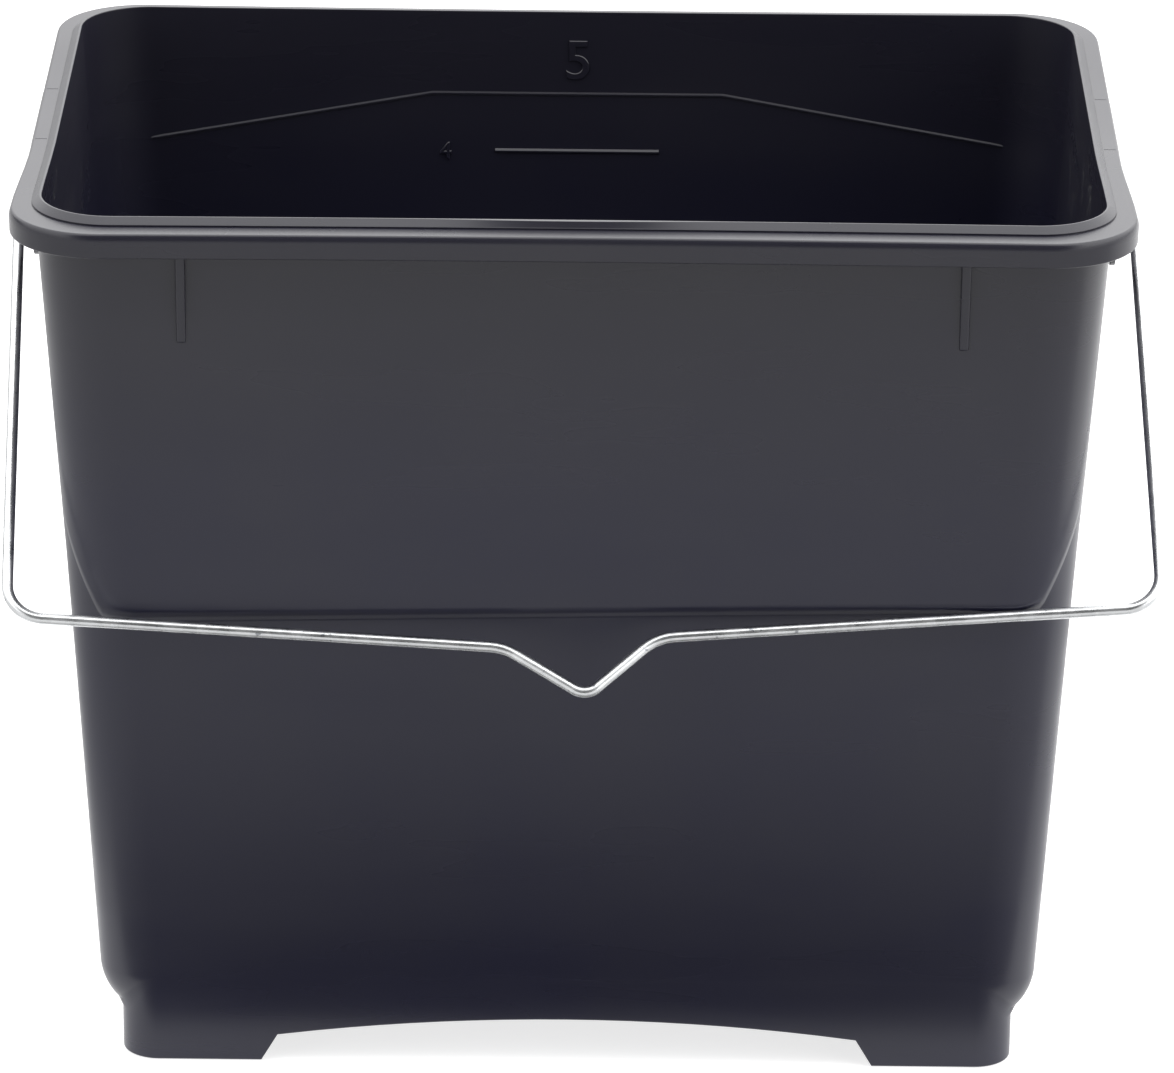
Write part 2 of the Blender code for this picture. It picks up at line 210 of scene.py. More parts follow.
# Table
TABLE_HALF = 15.0
TABLE_GAP = 0.0002
TABLE_GLOW = 0.75
TABLE_ALBEDO = 0.48
LIT_FROM = (-0.082, -0.074)  # the table is lit behind this line
DIM_LEFT = (-0.22, -0.135, 0.55, 1.0)
DIM_RIGHT = (0.135, 0.22, 1.0, 0.88)
SHADE_Y = -0.09  # the shade in front of the tub starts here
SHADE_DEPTH_SCALE = 6.8
SHADE_WIDTH_SCALE = 5.2
SHADE_REACH = 0.98
SHADE_FAR = (0.47, 0.47, 0.47, 1)
SHADE_NEAR = (0.11, 0.11, 0.11, 1)

# Light tent
TENT_LOW = (0.0, 0.36, 1.0, 2.55)  # strength from the horizon up to 21 degrees
TENT_HIGH = (0.36, 1.0, 0.0, 0.6)  # and what is added from there to the zenith
TENT_SIDES = (-1.0, 1.0, 0.8, 1.2)
OPENING_ELEVATION = math.radians(30)
OPENING_EDGE = (math.cos(math.radians(42)), math.cos(math.radians(24)), 1.0, 0.06)
PANEL_TOWARDS = (-0.84, 0.54, 0.05)
PANEL_EDGE = (math.cos(math.radians(16)), math.cos(math.radians(8)), 1.0, 0.3)

# Camera
CAMERA_LENS = 236.76
CAMERA_TARGET = (0.00322, 0.0, 0.097596)
CAMERA_DISTANCE = 1.6808
CAMERA_ELEVATION = math.radians(21.0)
CAMERA_AZIMUTH = math.radians(0.11)
CAMERA_ROLL = math.radians(0.56)


# Plan of the tub


def wall_half_x(z):
    return HALF_X - WALL_INSET_X - DRAFT * (RIM_TOP - z)


def wall_half_y(z):
    return HALF_Y - WALL_INSET_Y - DRAFT * (RIM_TOP - z)


def wall_corner(z):
    share = (z - BOTTOM_START) / (RIM_TOP - BOTTOM_START)
    return CORNER_BOTTOM + (CORNER_TOP - CORNER_BOTTOM) * max(share, 0.0)


def bottom_inset(z):
    """How far the rounding under the walls has drawn in at this height."""
    drop = max(BOTTOM_START - z, 0.0)
    return BOTTOM_RADIUS - math.sqrt(BOTTOM_RADIUS**2 - drop**2)


def ledge_height(turn, x):
    """The crease under the upper wall: nearly level across the front, rising at each corner."""
    left = max(1 - math.degrees(math.asin(min(turn, 1.0))) / LEDGE_TURN, 0.0)
    return LEDGE_HEIGHT - LEDGE_DROP + LEDGE_SLOPE * x + LEDGE_RISE * left


def splay_share(y):
    """None of the splay at the back, all of it at the front corners."""
    share = min(max((-y - SPLAY_START) / (SPLAY_END - SPLAY_START), 0.0), 1.0)
    return share * share * (3 - 2 * share)


def crease_height(turn, _x=0.0):
    """Where the bottom rounding meets the foot."""
    return FOOT_HEIGHT + CREASE_RISE * turn**CREASE_POWER


def arch_height(turn, x):
    """The lower edge of the foot: on the floor, but arched between the feet at front and back."""
    away = abs(x)
    if turn < 1 or away >= ARCH_HALF_BOTTOM:
        return 0.0
    if away >= ARCH_HALF_TOP:
        return ARCH_SHOULDER * (ARCH_HALF_BOTTOM - away) / (ARCH_HALF_BOTTOM - ARCH_HALF_TOP)
    rise = ARCH_APEX - ARCH_SHOULDER
    radius = (ARCH_HALF_TOP**2 + rise**2) / (2 * rise)
    return ARCH_APEX - radius + math.sqrt(radius**2 - away**2)


def lifted(height, up):
    """A height, or a function that gives one, raised by up."""
    if callable(height):
        return lambda turn, x: height(turn, x) + up
    return height + up


def stations(count, extra):
    """Shares of a straight side, from +1 to -1 without the ends, with some exact ones added."""
    even = {1 - 2 * step / count for step in range(1, count)}
    even = {share for share in even if all(abs(abs(share) - e) > 0.5 / count for e in extra)}
    return sorted(even | set(extra) | {-e for e in extra}, reverse=True)


FOOT_FLAT = FOOT_HALF_WIDTH - FOOT_CORNER
LONG_SHARES = stations(LONG_STEPS, [ARCH_HALF_BOTTOM / FOOT_FLAT, ARCH_HALF_TOP / FOOT_FLAT])
SHORT_SHARES = stations(SHORT_STEPS, [])


def plan_places():
    """Each ring point as (corner sign x, corner sign y, share along x, share along y, angle)."""
    for quadrant in range(4):
        side_x = 1 if quadrant in (0, 3) else -1
        side_y = 1 if quadrant in (0, 1) else -1
        for step in range(CORNER_STEPS + 1):
            yield side_x, side_y, math.radians(90 * (quadrant + step / CORNER_STEPS))
        end = math.radians(90 * (quadrant + 1))
        for share in LONG_SHARES if quadrant in (0, 2) else SHORT_SHARES:
            if quadrant in (0, 2):
                yield side_x * share, side_y, end
            else:
                yield side_x, side_y * share, end


PLACES = list(plan_places())


def ring(outline, height, recess=0.0, splay=0.0):
    """A rounded rectangle seen from above, anticlockwise from the right.

    outline gives half width, half depth and corner radius at a height. height is a number, or a
    function of the turn towards front or back and of x. recess sets back what faces there, and
    splay spreads the front corners.
    """
    points = []
    for along_x, along_y, angle in PLACES:
        turn = min(round(abs(math.sin(angle)), 9), 1.0)
        z = height
        if callable(height):
            half_x, _, corner = outline(0.0)
            z = height(turn, along_x * (half_x - corner) + corner * math.cos(angle))
        half_x, half_y, corner = outline(z)
        x = along_x * (half_x - corner) + corner * math.cos(angle)
        y = along_y * (half_y - corner) + (corner - recess) * math.sin(angle)
        up = min(max((z - SPLAY_LOW) / (RIM_TOP - SPLAY_LOW), 0.0), 1.0)
        points.append((x + along_x * splay * splay_share(y) * up, y, z))
    return points


def wall(inset, height, recess=0.0):
    def outline(z):
        return wall_half_x(z) - inset, wall_half_y(z) - inset, wall_corner(z) - inset

    return ring(outline, height, recess, SPLAY_WALL)


def foot(inset, height):
    def outline(z):
        half_y = wall_half_y(z) - RECESS
        return FOOT_HALF_WIDTH - inset, half_y - inset, FOOT_CORNER - min(inset, FOOT_CORNER * 0.9)

    return ring(outline, height)


def rim(inset, height):
    def outline(z):
        return HALF_X - inset, HALF_Y - inset, RIM_CORNER - inset

    return ring(outline, height, splay=SPLAY_RIM)


def lip(inset, height):
    """A ring of the lip, whose inset is measured from its outer plan."""
    grown = LIP_THICK - WALL - inset

    def outline(z):
        return wall_half_x(RIM_TOP) + grown, wall_half_y(RIM_TOP) + grown, CORNER_TOP + grown

    return ring(outline, height, splay=SPLAY_WALL)


def arc(place, inset, height, radius, start, end, steps=EDGE_STEPS):
    """Rings round an arc in the section. Its angle is 0 towards the middle and 90 upwards."""
    rings = []
    for step in range(steps + 1):
        angle = math.radians(start + (end - start) * step / steps)
        rings.append(place(inset + radius * math.cos(angle), lifted(height, radius * math.sin(angle))))
    return rings


def bottom_ring(share):
    """The rounding between the crease (share 0) and the straight wall (share 1)."""
    points = []
    for (x, y, _), (_, _, angle) in zip(wall(0.0, BOTTOM_START, RECESS), PLACES):
        turn = min(abs(math.sin(angle)), 1.0)
        low = crease_height(turn)
        z = low + share * (BOTTOM_START - low)
        inset = bottom_inset(z)
        points.append((x - inset * math.cos(angle), y - inset * math.sin(angle), z))
    return points


def ledge_rings(inset):
    """The step from the lower wall out to the upper one, from its crease upwards."""
    rings = []
    steps = 2 * EDGE_STEPS
    round_out = LEDGE_ROUND * (1 - math.cos(LEDGE_LEAN))
    slope_up = (RECESS - round_out) / math.tan(LEDGE_LEAN)
    for share in (0.0, 0.5):
        out = share * (RECESS - round_out)
        rings.append(wall(inset, lifted(ledge_height, share * slope_up + inset), RECESS - out))
    for step in range(steps + 1):
        lean = LEDGE_LEAN * (1 - step / steps)
        up = slope_up + LEDGE_ROUND * (math.sin(LEDGE_LEAN) - math.sin(lean))
        recess = LEDGE_ROUND * (1 - math.cos(lean))
        rings.append(wall(inset, lifted(ledge_height, up + inset), recess))
    return rings


def ledge_top():
    """How far above its crease the ledge ends."""
    round_out = LEDGE_ROUND * (1 - math.cos(LEDGE_LEAN))
    return (RECESS - round_out) / math.tan(LEDGE_LEAN) + LEDGE_ROUND * math.sin(LEDGE_LEAN)


def between(low, high, steps=WALL_STEPS):
    """The heights strictly between two, each a number or a function."""

    def mixed(share):
        def height(turn, x):
            start = low(turn, x) if callable(low) else low
            end = high(turn, x) if callable(high) else high
            return start + share * (end - start)

        return height

    return [mixed(step / steps) for step in range(1, steps)]


def underside_rings():
    fillet = SMALL_FILLET
    rings = [foot(inset, FLOOR_UNDERSIDE) for inset in UNDERSIDE_INSETS]
    rings += arc(foot, FOOT_THICK + fillet, FLOOR_UNDERSIDE - fillet, fillet, 90, 180)
    rings += arc(foot, FOOT_THICK - FOOT_EDGE, lifted(arch_height, FOOT_EDGE), FOOT_EDGE, 0, -90)
    rings += arc(foot, FOOT_EDGE, lifted(arch_height, FOOT_EDGE), FOOT_EDGE, -90, -180)
    rings.append(foot(0.0, crease_height))
    return rings


def outer_wall_rings():
    steps = 2 * EDGE_STEPS
    rings = [bottom_ring(step / steps) for step in range(1, steps)]
    rings.append(wall(0.0, BOTTOM_START, RECESS))
    rings += [wall(0.0, height, RECESS) for height in between(BOTTOM_START, ledge_height)]
    rings += ledge_rings(0.0)
    top = lifted(ledge_height, ledge_top())
    under_flange = RIM_TOP - FLANGE_THICK
    rings += [wall(0.0, height) for height in between(top, under_flange - SMALL_FILLET)]
    rings += arc(wall, -SMALL_FILLET, under_flange - SMALL_FILLET, SMALL_FILLET, 0, 90)
    return rings


def rim_rings():
    skirt_low = RIM_TOP - SKIRT_DROP
    under_flange = RIM_TOP - FLANGE_THICK
    crest = LIP_THICK - LIP_CREST
    rings = arc(rim, SKIRT_THICK + SMALL_FILLET, under_flange - SMALL_FILLET, SMALL_FILLET, 90, 180)
    rings += arc(rim, SKIRT_THICK - SKIRT_EDGE, skirt_low + SKIRT_EDGE, SKIRT_EDGE, 0, -90)
    rings += arc(rim, SKIRT_EDGE, skirt_low + SKIRT_EDGE, SKIRT_EDGE, -90, -180)
    steps = 2 * EDGE_STEPS
    for step in range(steps + 1):
        angle = math.radians(90 * step / steps)
        drop = RIM_EDGE_DROP * (1 - math.sin(angle))
        rings.append(rim(RIM_EDGE * (1 - math.cos(angle)), RIM_TOP - drop))
    rings.append(lip(-LIP_FLARE, RIM_TOP))
    rings.append(lip(-LIP_FLARE, RIM_TOP + LIP_FOOT - LIP_EDGE))
    rings.append(lip(-LIP_FLARE + LIP_EDGE, RIM_TOP + LIP_FOOT))
    rings += arc(lip, crest + LIP_EDGE, LIP_TOP - LIP_EDGE, LIP_EDGE, 135, 90)
    rings += arc(lip, LIP_THICK - LIP_EDGE, LIP_TOP - LIP_EDGE, LIP_EDGE, 90, 0)
    return rings


def inner_rings():
    top = lifted(ledge_height, ledge_top() + WALL)
    rings = [wall(WALL, height) for height in between(RIM_TOP, top)]
    rings += reversed(ledge_rings(WALL))
    fillet_top = FLOOR_TOP + INNER_FILLET
    low = lifted(ledge_height, WALL)
    rings += [wall(WALL, height, RECESS) for height in between(low, fillet_top)]
    steps = 2 * EDGE_STEPS
    for step in range(steps + 1):
        angle = math.radians(90 * step / steps)
        inset = WALL + INNER_FILLET * (1 - math.cos(angle))
        rings.append(wall(inset, FLOOR_TOP + INNER_FILLET * (1 - math.sin(angle)), RECESS))
    rings.append(wall(WALL + 1.6 * INNER_FILLET, FLOOR_TOP, RECESS))
    return rings


# Solids


def object_from(bm, name):
    bmesh.ops.recalc_face_normals(bm, faces=bm.faces)
    mesh = bpy.data.meshes.new(name)
    bm.to_mesh(mesh)
    bm.free()
    made = bpy.data.objects.new(name, mesh)
    bpy.context.scene.collection.objects.link(made)
    return made


def loft(rings, name):
    """One closed body through rings of equally many points, closed flat at both ends."""
    bm = bmesh.new()
    loops = [[bm.verts.new(point) for point in points] for points in rings]
    for lower, upper in zip(loops, loops[1:]):
        for index in range(len(lower)):
            after = (index + 1) % len(lower)
            bm.faces.new((lower[index], lower[after], upper[after], upper[index]))
    bm.faces.new(loops[0])
    bm.faces.new(loops[-1])
    bmesh.ops.remove_doubles(bm, verts=bm.verts, dist=1e-7)
    return object_from(bm, name)


def prism(outline, axis, start, end, name, edge=0.0):
    """An outline of (u, v) points, pushed along X (axis 0) or Y (axis 1), its edges rounded."""
    bm = bmesh.new()
    near = [bm.verts.new((start, u, v) if axis == 0 else (u, start, v)) for u, v in outline]
    face = bm.faces.new(near)
    pushed = bmesh.ops.extrude_face_region(bm, geom=[face])
    for item in pushed["geom"]:
        if isinstance(item, bmesh.types.BMVert):
            item.co[axis] = end
    bmesh.ops.recalc_face_normals(bm, faces=bm.faces)
    if edge:
        sharp = [e for e in bm.edges if e.calc_face_angle() > SMOOTH_ANGLE]
        bmesh.ops.bevel(
            bm, geom=sharp, offset=edge, offset_type="OFFSET", segments=3, profile=0.5, affect="EDGES"
        )
    return object_from(bm, name)


def combine(target, others, operation):
    """Applies one Boolean after another, and removes what it used."""
    for other in others:
        modifier = target.modifiers.new(other.name, "BOOLEAN")
        modifier.object = other
        modifier.operation = operation
        modifier.solver = "EXACT"
    graph = bpy.context.evaluated_depsgraph_get()
    made = bpy.data.meshes.new_from_object(target.evaluated_get(graph))
    target.modifiers.clear()
    target.data = made
    for other in others:
        bpy.data.objects.remove(other, do_unlink=True)


def corner_points(middle_u, middle_v, radius, start, steps=EDGE_STEPS):
    points = []
    for step in range(steps + 1):
        angle = math.radians(start + 90 * step / steps)
        points.append((middle_u + radius * math.cos(angle), middle_v + radius * math.sin(angle)))
    return points


def ear_solids(side):
    """The ear plate and its two gussets under the rim, on one side."""
    label = "right" if side > 0 else "left"
    low = RIM_TOP - EAR_DROP
    high = RIM_TOP - FLANGE_THICK / 2
    half = EAR_HALF - JOIN
    outline = [(half, high), (-half, high)]
    outline += corner_points(-half + EAR_CORNER, low + EAR_CORNER, EAR_CORNER, 180, 8)
    outline += corner_points(half - EAR_CORNER, low + EAR_CORNER, EAR_CORNER, 270, 8)
    inner = side * (HALF_X - SKIRT_THICK + JOIN)
    outer = side * (HALF_X - JOIN)
    solids = [prism(outline, 0, inner, outer, f"ear_{label}", EAR_EDGE)]
    root = side * (wall_half_x(RIM_TOP - GUSSET_DROP) - GUSSET_SINK)
    tip = side * (HALF_X - SKIRT_THICK / 2)
    for end in (-1, 1):
        low = RIM_TOP - GUSSET_DROP
        across = sorted((end * (EAR_HALF - GUSSET_THICK), end * (EAR_HALF - 2 * JOIN)))
        outline = [(across[0], low), (across[1], low), (across[1], high), (across[0], high)]
        solids.append(prism(outline, 0, root, tip, f"gusset_{label}_{end}"))
    return solids


def hole_solid(side):
    bm = bmesh.new()
    bmesh.ops.create_cone(
        bm, cap_ends=True, segments=32, radius1=EAR_HOLE, radius2=EAR_HOLE, depth=3 * SKIRT_THICK
    )
    turned = Matrix.Rotation(math.radians(90), 4, "Y")
    place = Matrix.Translation((side * (HALF_X - SKIRT_THICK / 2), 0.0, PIVOT.z))
    bmesh.ops.transform(bm, matrix=place @ turned, verts=bm.verts)
    return object_from(bm, f"hole_{side}")


def rib_solids():
    """Two slim ribs under the rim at the front and two at the back."""
    top = RIM_TOP - FLANGE_THICK / 2
    low = RIM_TOP - RIB_DROP
    solids = []
    for end in (-1, 1):
        outline = [
            (end * (wall_half_y(top) - WALL / 2), top),
            (end * (wall_half_y(top) + RIB_DEPTH_TOP), top),
            (end * (wall_half_y(low) + RIB_DEPTH_BOTTOM), low),
            (end * (wall_half_y(low) - WALL / 2), low),
        ]
        for side in (-1, 1):
            start = side * RIB_OFFSET - RIB_WIDTH / 2
            name = f"rib_{end}_{side}"
            solids.append(prism(outline, 0, start, start + RIB_WIDTH, name, RIB_EDGE))
    return solids


def seam_solids():
    """Fine witness lines across the side flanges."""
    solids = []
    for side in (-1, 1):
        for end in (-1, 1):
            y = end * SEAM_Y
            outer = side * (HALF_X - RIM_EDGE)
            inner = side * (wall_half_x(RIM_TOP) + LIP_FLARE)
            low = RIM_TOP - FLANGE_THICK / 2
            high = RIM_TOP + SEAM_UP
            outline = [
                (y - SEAM_WIDTH, low),
                (y + SEAM_WIDTH, low),
                (y + SEAM_WIDTH / 4, high),
                (y - SEAM_WIDTH / 4, high),
            ]
            solids.append(prism(outline, 0, inner, outer, f"seam_{side}_{end}"))
    return solids


# Raised marks on the inner face of the back wall


def on_back_wall(x, z, proud):
    recess = RECESS if z < LEDGE_HEIGHT else 0.0
    return (x, wall_half_y(z) - WALL - recess - proud, z)


def ridge(path, base, top, proud, name):
    """A raised line along (x, z) points, with sloping sides."""
    bm = bmesh.new()
    loops = []
    for index, (x, z) in enumerate(path):
        before = path[max(index - 1, 0)]
        after = path[min(index + 1, len(path) - 1)]
        length = math.dist(before, after)
        across = ((before[1] - after[1]) / length, (after[0] - before[0]) / length)
        root = [(-base, -MARK_SINK), (base, -MARK_SINK)]
        section = root + [(base, 0.0), (top, proud), (-top, proud), (-base, 0.0)]
        spots = [on_back_wall(x + across[0] * u, z + across[1] * u, w) for u, w in section]
        loops.append([bm.verts.new(spot) for spot in spots])
    for lower, upper in zip(loops, loops[1:]):
        for index in range(len(lower)):
            after = (index + 1) % len(lower)
            bm.faces.new((lower[index], lower[after], upper[after], upper[index]))
    bm.faces.new(loops[0])
    bm.faces.new(loops[-1])
    return object_from(bm, name)


def even_path(corners, step=0.004):
    """Points along straight runs between (x, z) corners, no further apart than step."""
    path = [corners[0]]
    for start, end in zip(corners, corners[1:]):
        count = math.ceil(math.dist(start, end) / step)
        for index in range(1, count + 1):
            share = index / count
            path.append(tuple(a + share * (b - a) for a, b in zip(start, end)))
    return path


def digit(text, size, x, z, name):
    """A raised numeral, centred at (x, z) on the back wall."""
    curve = bpy.data.curves.new(name, "FONT")
    curve.body = text
    curve.size = size
    curve.align_x = "CENTER"
    curve.align_y = "CENTER"
    curve.extrude = (MARK_PROUD + DIGIT_SINK) / 2 - DIGIT_BEVEL
    curve.bevel_depth = DIGIT_BEVEL
    curve.bevel_resolution = 0
    curve.resolution_u = 6
    holder = bpy.data.objects.new(name + "_curve", curve)
    bpy.context.scene.collection.objects.link(holder)
    bpy.context.view_layer.update()
    graph = bpy.context.evaluated_depsgraph_get()
    mesh = bpy.data.meshes.new_from_object(holder.evaluated_get(graph))
    bpy.data.objects.remove(holder, do_unlink=True)
    bm = bmesh.new()
    bm.from_mesh(mesh)
    bmesh.ops.remove_doubles(bm, verts=bm.verts, dist=1e-6)
    middle = [(min(v.co[i] for v in bm.verts) + max(v.co[i] for v in bm.verts)) / 2 for i in range(2)]
    for vertex in bm.verts:
        u, v, w = vertex.co
        proud = w + (MARK_PROUD - DIGIT_SINK) / 2
        vertex.co = on_back_wall(x + u - middle[0], z + v - middle[1], proud)
    return object_from(bm, name)


def cavity_area(z):
    recess = RECESS if z < LEDGE_HEIGHT else 0.0
    half_x = wall_half_x(z) - WALL
    half_y = wall_half_y(z) - WALL - recess
    return 4 * half_x * half_y - (4 - math.pi) * (wall_corner(z) - WALL) ** 2


def level_of(volume):
    """The height to which this volume of water fills the tub, summed in thin layers."""
    layer = 0.0002
    height = FLOOR_TOP
    held = 0.0
    while held < volume:
        held += layer * cavity_area(height + layer / 2)
        height += layer
    return height


def mark_solids():
    """A bar and a numeral at each whole litre, the brim's numeral, and the line above the bars."""
    solids = []
    for litres in MARKS:
        z = level_of(litres * LITRE)
        path = even_path([(-MARK_HALF, z), (MARK_HALF, z)])
        solids.append(ridge(path, MARK_BASE, MARK_TOP, MARK_PROUD, f"bar_{litres}"))
        solids.append(digit(str(litres), DIGIT_SIZE, DIGIT_X, z, f"digit_{litres}"))
    brim = len(MARKS) + 1
    solids.append(digit(str(brim), BIG_DIGIT_SIZE, 0.0, RIM_TOP - BIG_DIGIT_DROP, f"digit_{brim}"))
    path = [
        (-ROOF_HALF_END, RIM_TOP - ROOF_DROP_END),
        (-ROOF_HALF_MIDDLE, RIM_TOP - ROOF_DROP_MIDDLE),
        (ROOF_HALF_MIDDLE, RIM_TOP - ROOF_DROP_MIDDLE),
        (ROOF_HALF_END, RIM_TOP - ROOF_DROP_END),
    ]
    solids.append(ridge(even_path(path), ROOF_BASE, MARK_TOP, ROOF_PROUD, "roof_line"))
    return solids


def widen_crest(mesh):
    """Moves the crest's outer edge out at the middle of front and back, so the lip is steeper."""
    inner = wall_half_y(RIM_TOP) - WALL
    low = (RIM_TOP + LIP_FOOT + LIP_TOP) / 2
    for vertex in mesh.vertices:
        x, y, z = vertex.co
        on_edge = LIP_CREST / 2 < abs(y) - inner < LIP_THICK
        if z > low and on_edge and abs(x) < PINCH_HALF:
            share = 1 - (x / PINCH_HALF) ** 2
            vertex.co.y = y + math.copysign(PINCH * share * share, y)


def bow_in(mesh):
    """Draws the long sides in towards mid-length, most at the rim."""
    for vertex in mesh.vertices:
        x, y, z = vertex.co
        along = 1 - min(abs(x) / HALF_X, 1.0) ** 2
        across = min(abs(y) / HALF_Y, 1.0) ** 3
        up = max(z / RIM_TOP, 0.0) ** BOW_POWER
        vertex.co.y = y - math.copysign(BOW * along * across * up, y)


def shade(made):
    """Smooth shading that keeps the hard edges, with flat faces left flat."""
    made.data.shade_smooth()
    made.data.set_sharp_from_angle(angle=SMOOTH_ANGLE)
    weighted = made.modifiers.new("normals", "WEIGHTED_NORMAL")
    weighted.keep_sharp = True


def make_tub():
    tub = loft(underside_rings() + outer_wall_rings() + rim_rings() + inner_rings(), "tub_moulding")
    combine(tub, ear_solids(-1) + ear_solids(1) + rib_solids() + seam_solids(), "UNION")
    combine(tub, [hole_solid(-1), hole_solid(1)], "DIFFERENCE")
    widen_crest(tub.data)
    bow_in(tub.data)
    shade(tub)
    return tub


def make_marks():
    """The raised marks, each a closed solid whose root is sunk into the wall."""
    marks = mark_solids()
    for mark in marks:
        bow_in(mark.data)
        shade(mark)
    return marks


# Bail


def rounded_path(corners):
    """Points along straight runs joined by arcs. Each corner is (out, down, bend radius)."""
    path = [corners[0][:2]]
    for before, here, after in zip(corners, corners[1:], corners[2:]):
        back = math.dist(before[:2], here[:2])
        ahead = math.dist(after[:2], here[:2])
        into = [(here[i] - before[i]) / back for i in range(2)]
        away = [(after[i] - here[i]) / ahead for i in range(2)]
        turn = math.acos(max(-1.0, min(1.0, into[0] * away[0] + into[1] * away[1])))
        left = 1 if into[0] * away[1] - into[1] * away[0] > 0 else -1
        radius = here[2]
        setback = radius * math.tan(turn / 2)
        start = [here[i] - into[i] * setback for i in range(2)]
        centre = (start[0] - left * into[1] * radius, start[1] + left * into[0] * radius)
        steps = max(3, math.ceil(BEND_STEPS * turn / math.radians(90)))
        for step in range(steps + 1):
            angle = left * turn * step / steps
            arm = (start[0] - centre[0], start[1] - centre[1])
            path.append(
                (
                    centre[0] + arm[0] * math.cos(angle) - arm[1] * math.sin(angle),
                    centre[1] + arm[0] * math.sin(angle) + arm[1] * math.cos(angle),
                )
            )
    path.append(corners[-1][:2])
    return path


def bail_path():
    """From tail to tail. The wire is bent by hand, so its two halves differ a little."""
    return rounded_path(
        [
            (-TAIL_OUT, TAIL_LENGTH, 0.0),
            (-TAIL_OUT, 0.0, TAIL_RADIUS),
            (*LEFT_SHOULDER, SHOULDER_RADIUS),
            (*LEFT_ELBOW, ELBOW_RADIUS),
            (*LEFT_BEND, BEND_RADIUS),
            (*NOTCH_TIP, NOTCH_RADIUS),
            (*RIGHT_BEND, BEND_RADIUS),
            (*RIGHT_ELBOW, ELBOW_RADIUS),
            (*RIGHT_SHOULDER, SHOULDER_RADIUS),
            (TAIL_OUT, 0.0, TAIL_RADIUS),
            (TAIL_OUT, TAIL_LENGTH, 0.0),
        ]
    )


def hang_angle():
    """The angle from straight down at which the hanging bar lies against the front wall.

    It touches where the bar is nearest its axis, at the right end of the flat front.
    """
    flat_half = wall_half_x(LEDGE_HEIGHT) - wall_corner(LEDGE_HEIGHT)
    share = (RIGHT_ELBOW[0] - flat_half) / (RIGHT_ELBOW[0] - RIGHT_BEND[0])
    reach = RIGHT_ELBOW[1] + (RIGHT_BEND[1] - RIGHT_ELBOW[1]) * share
    angle = math.radians(45)
    for _ in range(20):
        face = wall_half_y(PIVOT.z - reach * math.cos(angle)) - RECESS
        angle = math.asin((face + WIRE / 2 + CLEARANCE) / reach)
    return angle


def make_bail():
    """A round wire swept along the bail's path, its cut ends slightly chamfered."""
    path = [Vector((out, -down)) for out, down in bail_path()]
    angle = hang_angle()
    down = Vector((0.0, -math.sin(angle), -math.cos(angle)))
    side = Vector((0.0, -math.cos(angle), math.sin(angle)))
    lengths = [0.0]
    for before, here in zip(path, path[1:]):
        lengths.append(lengths[-1] + (here - before).length)

    rows = []
    for index, here in enumerate(path):
        before = path[max(index - 1, 0)]
        after = path[min(index + 1, len(path) - 1)]
        along = (after - before).normalized()
        rows.append((here, along, WIRE / 2, lengths[index]))
    first, last = rows[0], rows[-1]
    for row, end in ((first, 0), (last, len(rows) + 1)):
        here, along, radius, length = row
        rows.insert(end, (here, along, radius - WIRE_CHAMFER, length))
    for index, shift in ((1, WIRE_CHAMFER), (len(rows) - 2, -WIRE_CHAMFER)):
        here, along, radius, length = rows[index]
        rows[index] = (here + along * shift, along, radius, length + shift)

    bm = bmesh.new()
    uv = bm.loops.layers.uv.new("wire")
    loops = []
    for here, along, radius, length in rows:
        across = Vector((-along.y, along.x))
        loop = []
        for step in range(WIRE_SIDES):
            turn = 2 * math.pi * step / WIRE_SIDES
            flat = here + across * (radius * math.cos(turn))
            point = PIVOT + Vector((flat.x, 0, 0)) - down * flat.y + side * (radius * math.sin(turn))
            loop.append(bm.verts.new(point))
        loops.append((loop, length))
    for (lower, start), (upper, end) in zip(loops, loops[1:]):
        for step in range(WIRE_SIDES):
            after = (step + 1) % WIRE_SIDES
            face = bm.faces.new((lower[step], lower[after], upper[after], upper[step]))
            rounds = (step, step + 1, step + 1, step)
            for corner, turn, length in zip(face.loops, rounds, (start, start, end, end)):
                corner[uv].uv = (length, turn / WIRE_SIDES * math.pi * WIRE)
    bm.faces.new(loops[0][0])
    bm.faces.new(loops[-1][0])
    bail = object_from(bm, "wire_bail")
    shade(bail)
    return bail


# Materials


def node(tree, kind, settings=None, **inputs):
    """A shader node with its properties and its inputs, each a constant or another's output."""
    made = tree.nodes.new(kind)
    for name, value in (settings or {}).items():
        setattr(made, name, value)
    for name, value in inputs.items():
        socket = made.inputs[int(name[1:])] if name[0] == "i" and name[1:].isdigit() else made.inputs[name]
        if isinstance(value, bpy.types.NodeSocket):
            tree.links.new(value, socket)
        else:
            socket.default_value = value
    return made


def new_material(name):
    made = bpy.data.materials.new(name)
    made.use_nodes = True
    tree = made.node_tree
    return made, tree, tree.nodes["Principled BSDF"]


def noise(tree, place, scale, detail=3.0, roughness=0.55):
    made = node(tree, "ShaderNodeTexNoise", Vector=place, Scale=scale, Detail=detail, Roughness=roughness)
    return made.outputs["Fac"]


def spread(tree, value, low, high, start=0.0, end=1.0, smooth=True):
    """Takes low..high to start..end, held at the ends."""
    kind = "SMOOTHSTEP" if smooth else "LINEAR"
    settings = {"interpolation_type": kind}
    made = node(
        tree,
        "ShaderNodeMapRange",
        settings,
        **{"Value": value, "From Min": low, "From Max": high, "To Min": start, "To Max": end},
    )
    return made.outputs["Result"]


def maths(tree, operation, first, second):
    return node(tree, "ShaderNodeMath", {"operation": operation}, i0=first, i1=second).outputs[0]


def blend_colour(tree, share, first, second):
    made = node(tree, "ShaderNodeMix", {"data_type": "RGBA"}, i0=share, i6=first, i7=second)
    return made.outputs[2]


